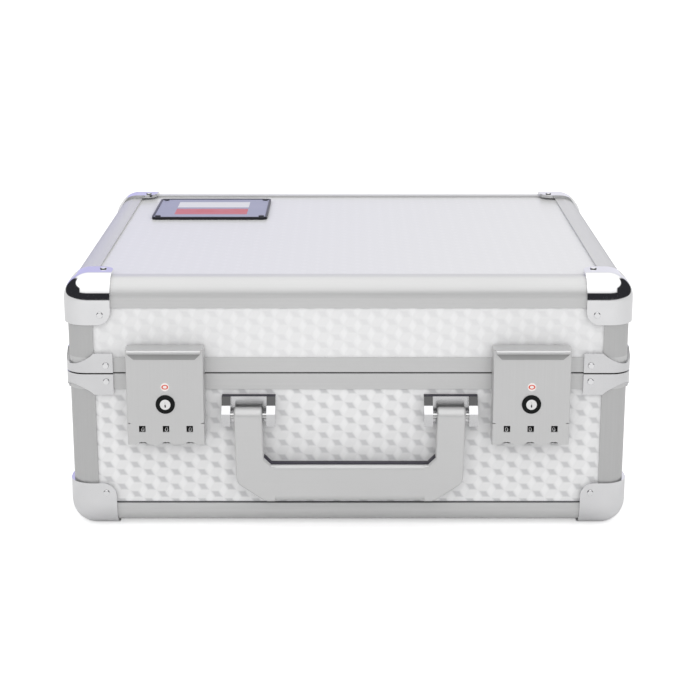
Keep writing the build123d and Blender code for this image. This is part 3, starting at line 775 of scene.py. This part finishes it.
class CARDCASE_OT_numerals(bpy.types.Operator):
    """Add the plain numbers 0 to 9 round every dial"""

    bl_idname = "cardcase.numerals"
    bl_label = "Dial numerals"

    def add_figure(self, dial, figure, middle, radius):
        """Adds one number where it lies on the dial's rim. Its turn is counted up from the front."""
        pitch = 36
        first_turn = 42
        size_to_height = 1.4
        clear_selection()
        bpy.ops.object.text_add(location=(0, 0, 0))
        text = bpy.context.active_object.data
        text.body = str(figure)
        text.size = size_settings().numeral_height * size_to_height
        text.align_x = "CENTER"
        text.align_y = "CENTER"
        text.extrude = 0.05 * MM
        text.resolution_u = 3
        bpy.ops.object.convert(target="MESH")
        piece = bpy.context.active_object
        turn = math.radians(pitch * figure + first_turn)
        piece.rotation_euler = (math.pi / 2 - turn, 0, 0)
        piece.location = middle + Vector((0, -math.cos(turn), math.sin(turn))) * radius
        return settle(piece, dial + "_figure_" + str(figure))

    def execute(self, context):
        ink = painted_mark("numeral_white", (0.95, 0.95, 0.95))
        for dial in nodes_like("dial_"):
            low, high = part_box(dial)
            middle = (low + high) / 2
            radius = (high.z - low.z) / 2
            digits = [self.add_figure(dial, figure, middle, radius) for figure in range(10)]
            clear_selection()
            for piece in digits:
                piece.select_set(True)
            context.view_layer.objects.active = digits[0]
            bpy.ops.object.join()
            dress(settle(digits[0], "numerals_" + dial), ink, dial, "dial_black")
        return {"FINISHED"}


class CARDCASE_OT_marks(bpy.types.Operator):
    """Add the small plain red ring above each key"""

    bl_idname = "cardcase.marks"
    bl_label = "Red rings"

    def execute(self, context):
        key_ring_proud = 0.9 * MM
        above_key = 12.1 * MM
        ring_radius = 1.65 * MM
        band_radius = 0.62 * MM
        ring_squash = (1.12, 0.8, 0.35)
        ring_sunk = 0.1 * MM
        dot_radius = 2.9 * MM
        dot_depth = 0.3 * MM
        upright = (math.pi / 2, 0, 0)
        red = painted_mark("mark_red", (0.72, 0.10, 0.06))
        pale = painted_mark("mark_pale", (0.9, 0.86, 0.84))
        for side in SIDES:
            low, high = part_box("key_ring_" + side)
            middle = (low + high) / 2
            face = low.y + key_ring_proud
            place = (middle.x, face, middle.z + above_key)
            clear_selection()
            bpy.ops.mesh.primitive_torus_add(
                major_segments=32, minor_segments=8, major_radius=ring_radius, minor_radius=band_radius,
                location=place, rotation=upright)
            ring = bpy.context.active_object
            ring.scale = ring_squash
            settle(ring, "red_ring_" + side)
            cut_across(ring, (middle.x, face + ring_sunk, middle.z), (0, 1, 0), drop=True)
            smoothed(ring, 60)
            dress(ring, red, "cover_" + side, "latch_nickel")
            clear_selection()
            bpy.ops.mesh.primitive_cylinder_add(
                vertices=48, radius=dot_radius, depth=dot_depth, location=place, rotation=upright)
            dot = settle(bpy.context.active_object, "enamel_dot_" + side)
            applied(dot, "BEVEL", width=0.1 * MM, segments=2)
            smoothed(dot)
            dress(dot, pale, "cover_" + side, "latch_nickel")
        return {"FINISHED"}


class CARDCASE_OT_handle(bpy.types.Operator):
    """Finish the bail handle and its brackets, and add the dark strip on the inside of the grip"""

    bl_idname = "cardcase.handle"
    bl_label = "Handle"

    def add_strip(self, rubber):
        """Adds the strip, a flat band whose ends climb into the corners between grip and legs."""
        inset = 2.6 * MM
        knee = 5.0 * MM
        flat = 2.2 * MM
        sunk = 0.6 * MM
        proud = 0.4 * MM
        low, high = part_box("handle_grip")
        strip = box_between(
            "grip_strip",
            (low.x - flat, low.y + inset, high.z - sunk),
            (high.x + flat, high.y - inset, high.z + proud))
        for way in (-1, 1):
            pick_faces(strip, lambda centre, normal: normal.x * way > 0.9)
            extruded(way * knee, 0, knee)
            leave_edit()
        outward(strip)
        bend = math.radians(30)
        applied(strip, "BEVEL", width=0.25 * MM, segments=2, limit_method="ANGLE", angle_limit=bend)
        smoothed(strip)
        dress(strip, rubber, "handle", "key_ring_black")

    def add_pads(self, rubber, low, high):
        """Adds a dark pad on top of each handle bracket, a painted shadow for the dark gap along its top
        edge.
        """
        width = 36.4 * MM
        depth = 4.5 * MM
        sunk = 0.1 * MM
        proud = 0.3 * MM
        for side, way in zip(SIDES, (-1, 1)):
            outer = high.x if way > 0 else -low.x
            near, far = sorted((way * outer, way * (outer - width)))
            pad = box_between(
                "bracket_shadow_pad_" + side, (near, high.y - depth, high.z - sunk), (far, high.y, high.z + proud))
            applied(pad, "BEVEL", width=0.12 * MM, segments=2)
            smoothed(pad)
            dress(pad, rubber, "base", "key_ring_black")

    def execute(self, context):
        painted_dark_rise = 5.7 * MM
        painted_dark_depth = 4.6 * MM
        colour = finish_settings().handle_colour
        satin = drawn_metal(
            "handle_satin", colour, roughness=0.40, lengthwise=X, metallic=0.35, streak=0.012)
        paint_nodes(satin, "handle_leg_left", "handle_leg_right", "handle_grip")
        low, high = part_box("handle_brackets")
        # Painted reflection: slopes marks the ears' upper slopes, which the bracket material paints dark
        slopes = (high.z - painted_dark_rise, high.y - painted_dark_depth)
        plate = polished_metal("bracket_plate", (0.66, 0.66, 0.67), roughness=0.2, painted_dark_from=slopes)
        paint_nodes(plate, "handle_brackets")
        paint_nodes(polished_metal("handle_pin_steel", (0.6, 0.6, 0.6), roughness=0.2), "handle_pins")
        # One dark material for the band that darkens the grip's top and its corners, and for the bracket
        # pads, which are painted shadow
        rubber = moulded_plastic("dark_band_and_shadow_pads", (0.035, 0.032, 0.045), roughness=0.5)
        self.add_strip(rubber)
        self.add_pads(rubber, low, high)
        return {"FINISHED"}


class CARDCASE_OT_plaque(bpy.types.Operator):
    """Finish the plaque on the lid"""

    bl_idname = "cardcase.plaque"
    bl_label = "Plaque"

    def execute(self, context):
        black = moulded_plastic("plaque_black", (0.014, 0.014, 0.018), roughness=0.32)
        paint_nodes(black, "plaque_frame", "plaque_rivets")
        paint_nodes(plaque_print("plaque_print", finish_settings().plaque_colour), "plaque_face")
        return {"FINISHED"}


class CARDCASE_OT_gasket(bpy.types.Operator):
    """Lay the black rubber strip in the joint between lid and base"""

    bl_idname = "cardcase.gasket"
    bl_label = "Gasket"

    def execute(self, context):
        tongue = 4 * MM
        clearance = 0.02 * MM
        inset = 1.2 * MM
        corner = 11.3 * MM
        thickness = 0.75 * MM
        low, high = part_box("base_seam_rails")
        middle = (low + high) / 2
        rim = high.z - tongue
        clear_selection()
        bpy.ops.mesh.primitive_plane_add(size=1.0, location=(middle.x, middle.y, rim + clearance))
        piece = bpy.context.active_object
        piece.scale = (high.x - low.x - 2 * inset, high.y - low.y - 2 * inset, 1)
        settle(piece, "seam_gasket")
        open_edit(piece)
        bpy.ops.mesh.bevel(offset=corner, segments=8, affect="VERTICES")
        bpy.ops.mesh.select_all(action="SELECT")
        bpy.ops.mesh.inset(thickness=size_settings().gasket_width)
        bpy.ops.mesh.delete(type="FACE")
        bpy.ops.mesh.select_all(action="SELECT")
        extruded(0, 0, thickness)
        leave_edit()
        outward(piece)
        smoothed(piece)
        rubber = moulded_plastic("gasket_rubber", (0.01, 0.01, 0.011), roughness=0.6)
        dress(piece, rubber, "base", "foam")
        return {"FINISHED"}


class CARDCASE_OT_base_foam(bpy.types.Operator):
    """Cut the foam block of the base with its eight pockets and soft edges"""

    bl_idname = "cardcase.base_foam"
    bl_label = "Base foam"

    def execute(self, context):
        sunk = 0.4 * MM
        pocket_width = 83.0 * MM
        pocket_length = 145.0 * MM
        column_pitch = 90.0 * MM
        row_offset = 76.0 * MM
        floor = 6.0 * MM
        slack = 1 * MM
        low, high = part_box("base_foam")
        middle = (low + high) / 2
        top = high.z - sunk
        columns = [middle.x + (column - 1.5) * column_pitch for column in range(4)]
        rows = [middle.y + way * row_offset for way in (-1, 1)]
        piece = box_between("base_foam_liner", low + Vector((sunk,) * 3), high - Vector((sunk,) * 3))
        for x in columns:
            for way in (-1, 1):
                cut_across(piece, (x + way * pocket_width / 2, 0, 0), (1, 0, 0))
        for y in rows:
            for way in (-1, 1):
                cut_across(piece, (0, y + way * pocket_length / 2, 0), (0, 1, 0))

        def in_pocket(centre, normal):
            on_top = normal.z > 0.9 and centre.z > top - slack
            in_column = any(abs(centre.x - x) < pocket_width / 2 - slack for x in columns)
            in_row = any(abs(centre.y - y) < pocket_length / 2 - slack for y in rows)
            return on_top and in_column and in_row

        pick_faces(piece, in_pocket)
        extruded(0, 0, floor - (high.z - low.z))
        leave_edit()
        outward(piece)
        bend = math.radians(40)
        applied(
            piece, "BEVEL", width=size_settings().foam_edge, segments=3, limit_method="ANGLE",
            angle_limit=bend, use_clamp_overlap=True)
        smoothed(piece)
        cells = cell_foam("base_foam_cells", finish_settings().foam_colour)
        dress(piece, cells, "base", "foam", "base_foam")
        return {"FINISHED"}


class CARDCASE_OT_lid_foam(bpy.types.Operator):
    """Shape the egg-crate foam pad in the lid"""

    bl_idname = "cardcase.lid_foam"
    bl_label = "Lid foam"

    def execute(self, context):
        gap = 0.3 * MM
        side_gap = 1 * MM
        # Subdivision flattens the waves, so their points start further out
        overshoot = 1.6
        low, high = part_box("lid_foam")
        middle = (low + high) / 2
        wave = size_settings().foam_wave
        across = size_settings().foam_cells
        along = round(across * (high.y - low.y) / (high.x - low.x))
        width = high.x - low.x - side_gap
        length = high.y - low.y - side_gap
        plane = low.z + wave + gap
        clear_selection()
        bpy.ops.mesh.primitive_grid_add(
            x_subdivisions=across, y_subdivisions=along, size=1.0, location=(middle.x, middle.y, plane))
        piece = bpy.context.active_object
        piece.scale = (width, length, 1)
        settle(piece, "lid_foam_pad")
        open_edit(piece, "DESELECT", "VERT")
        mesh = bmesh.from_edit_mesh(piece.data)
        for vertex in mesh.verts:
            column = round((vertex.co.x - low.x) * across / width)
            row = round((vertex.co.y - low.y) * along / length)
            inside = 0 < column < across and 0 < row < along
            if inside and (column + row) % 2:
                vertex.select_set(True)
        bmesh.update_edit_mesh(piece.data)
        bpy.ops.transform.translate(value=(0, 0, -wave * overshoot))
        leave_edit()
        applied(piece, "SUBSURF", levels=2, render_levels=2)
        open_edit(piece, "DESELECT", "EDGE")
        bpy.ops.mesh.select_non_manifold()
        extruded(0, 0, high.z - gap - plane)
        bpy.ops.mesh.edge_face_add()
        leave_edit()
        outward(piece)
        smoothed(piece, 50)
        cells = cell_foam("lid_foam_cells", finish_settings().foam_colour)
        dress(piece, cells, "lid", "foam", "lid_foam")
        return {"FINISHED"}


class CARDCASE_OT_stage(bpy.types.Operator):
    """Set the white studio: floor, soft light, a dark card for the chrome, and the camera"""

    bl_idname = "cardcase.stage"
    bl_label = "Stage"

    def lay_floor(self, settings):
        """Lays a white floor that glows for the camera alone, so that it still holds the case's shadow."""
        side = 12.0
        sunk = 0.2 * MM
        clear_selection()
        bpy.ops.mesh.primitive_plane_add(size=side, location=(0, 0, -sunk))
        floor = bpy.context.active_object
        floor.name = "floor"
        material, tree, shader = fresh_material("floor_white")
        feed(tree, (0.9, 0.9, 0.9), shader.inputs["Base Color"])
        shader.inputs["Roughness"].default_value = 0.9
        shader.inputs["Specular IOR Level"].default_value = 0.0
        camera_ray = add_node(tree, "ShaderNodeLightPath").outputs["Is Camera Ray"]
        glow = maths(tree, "MULTIPLY", camera_ray, settings.floor_glow)
        feed(tree, (1, 1, 1), shader.inputs["Emission Color"])
        feed(tree, glow, shader.inputs["Emission Strength"])
        floor.data.materials.append(material)

    def room_colour(self, tree, gloss, settings):
        """White, but glossy rays see a bright ceiling, a violet wall behind, a dark card ahead and aside."""
        direction = add_node(tree, "ShaderNodeTexCoord").outputs["Generated"]
        across, along, rise = parted(tree, direction)
        side_card_top = settings.card_high + SIDE_CARD_RISE
        over_foot = ranged(tree, rise, start=settings.card_low, end=settings.card_low + CARD_BLUR)
        under_top = ranged(
            tree, rise, 1.0, 0.0, start=settings.card_high, end=settings.card_high + CARD_TOP_BLUR)
        ahead = ranged(tree, along, 1.0, 0.0, *CARD_AHEAD)
        ahead = maths(tree, "MULTIPLY", ahead, under_top)
        aside = ranged(tree, maths(tree, "ABSOLUTE", across), 0.0, 1.0, *CARD_ASIDE)
        under_side_top = ranged(tree, rise, 1.0, 0.0, start=side_card_top, end=side_card_top + CARD_BLUR)
        aside = maths(tree, "MULTIPLY", aside, under_side_top)
        card = product(tree, maths(tree, "MAXIMUM", ahead, aside), over_foot, gloss)
        ceiling = product(tree, ranged(tree, rise, 0.0, 1.0, *CEILING), gloss)
        behind = ranged(tree, along, 0.0, 1.0, *WALL_BEHIND)
        leftward = ranged(tree, across, 1.0, WALL_SHARE_RIGHT, *WALL_LEFT)
        wall = product(tree, behind, leftward, under_top, gloss)
        room = blended(tree, ceiling, (1, 1, 1), (settings.overhead,) * 3)
        room = blended(tree, wall, room, settings.wall_colour)
        return blended(tree, card, room, settings.card_colour)

    def light_world(self, tree, settings):
        """White for the camera, gloss and glass, and a slightly dimmer even fill for matt surfaces."""
        background = tree.nodes["Background"]
        path = add_node(tree, "ShaderNodeLightPath").outputs
        seen = maths(tree, "ADD", path["Is Camera Ray"], path["Is Glossy Ray"])
        seen = maths(tree, "ADD", seen, path["Is Transmission Ray"])
        seen = maths(tree, "MINIMUM", seen, 1.0)
        strength = maths(tree, "MULTIPLY", seen, 1.0 - settings.fill)
        strength = maths(tree, "ADD", strength, settings.fill)
        feed(tree, strength, background.inputs["Strength"])
        feed(tree, self.room_colour(tree, path["Is Glossy Ray"], settings), background.inputs["Color"])

    def hang_lamp(self, settings, centre):
        """Hangs the large soft lamp in front of the case, high up and aimed at its middle."""
        place = (0.0, -2.2, 1.3)
        width = 2.4
        depth = 1.2
        clear_selection()
        bpy.ops.object.light_add(type="AREA", location=place)
        lamp = bpy.context.active_object
        lamp.name = "key_lamp"
        lamp.data.shape = "RECTANGLE"
        lamp.data.size = width
        lamp.data.size_y = depth
        lamp.data.energy = settings.key_power
        lamp.rotation_euler = (centre - lamp.location).to_track_quat("-Z", "Y").to_euler()
        lamp.visible_glossy = False

    def place_camera(self, settings, centre):
        """Places the camera where the photograph was taken from."""
        sideways = 1.1 * MM
        case_middle = centre.y + 5.05 * MM
        rails_foot = 2.5 * MM
        clear_selection()
        bpy.ops.object.camera_add(
            location=(sideways, case_middle - settings.distance, rails_foot + settings.height))
        camera = bpy.context.active_object
        camera.name = "camera"
        camera.data.lens = settings.lens
        camera.data.sensor_width = 36.0
        camera.data.sensor_fit = "HORIZONTAL"
        camera.rotation_euler = (math.pi / 2 - settings.tilt, 0, 0)
        camera.data.clip_start = 0.05
        camera.data.clip_end = 100.0
        bpy.context.scene.camera = camera

    def execute(self, context):
        settings = stage_settings()
        context.scene.view_settings.view_transform = "Standard"
        centre = (CAD_LOW + CAD_HIGH) / 2
        self.lay_floor(settings)
        world = bpy.data.worlds.new("studio")
        context.scene.world = world
        world.use_nodes = True
        self.light_world(world.node_tree, settings)
        self.hang_lamp(settings, centre)
        self.place_camera(settings, centre)
        return {"FINISHED"}


class CARDCASE_PT_sidebar(bpy.types.Panel):
    """Lists the steps that finish the case"""

    bl_label = "Card Case"
    bl_idname = "CARDCASE_PT_sidebar"
    bl_space_type = "VIEW_3D"
    bl_region_type = "UI"
    bl_category = "Card Case"

    def draw(self, context):
        layout = self.layout
        for step in STEPS:
            layout.operator(step.bl_idname)
        for group in (finish_settings(), size_settings(), stage_settings()):
            box = layout.box()
            for key in group.bl_rna.properties.keys():
                if key not in ("rna_type", "name"):
                    box.prop(group, key)


STEPS = (
    CARDCASE_OT_panels,
    CARDCASE_OT_metalwork,
    CARDCASE_OT_seals,
    CARDCASE_OT_latches,
    CARDCASE_OT_numerals,
    CARDCASE_OT_marks,
    CARDCASE_OT_handle,
    CARDCASE_OT_plaque,
    CARDCASE_OT_gasket,
    CARDCASE_OT_base_foam,
    CARDCASE_OT_lid_foam,
    CARDCASE_OT_stage,
)
CLASSES = (CardCaseFinish, CardCaseSizes, CardCaseStage, *STEPS, CARDCASE_PT_sidebar)


def register():
    for item in CLASSES:
        bpy.utils.register_class(item)
    bpy.types.Scene.card_case_finish = PointerProperty(type=CardCaseFinish)
    bpy.types.Scene.card_case_sizes = PointerProperty(type=CardCaseSizes)
    bpy.types.Scene.card_case_stage = PointerProperty(type=CardCaseStage)


def unregister():
    del bpy.types.Scene.card_case_stage
    del bpy.types.Scene.card_case_sizes
    del bpy.types.Scene.card_case_finish
    for item in reversed(CLASSES):
        bpy.utils.unregister_class(item)


def main():
    register()
    bpy.ops.cardcase.panels()
    bpy.ops.cardcase.metalwork()
    bpy.ops.cardcase.seals()
    bpy.ops.cardcase.latches()
    bpy.ops.cardcase.numerals()
    bpy.ops.cardcase.marks()
    bpy.ops.cardcase.handle()
    bpy.ops.cardcase.plaque()
    bpy.ops.cardcase.gasket()
    bpy.ops.cardcase.base_foam()
    bpy.ops.cardcase.lid_foam()
    bpy.ops.cardcase.stage()


if __name__ == "__main__":
    main()
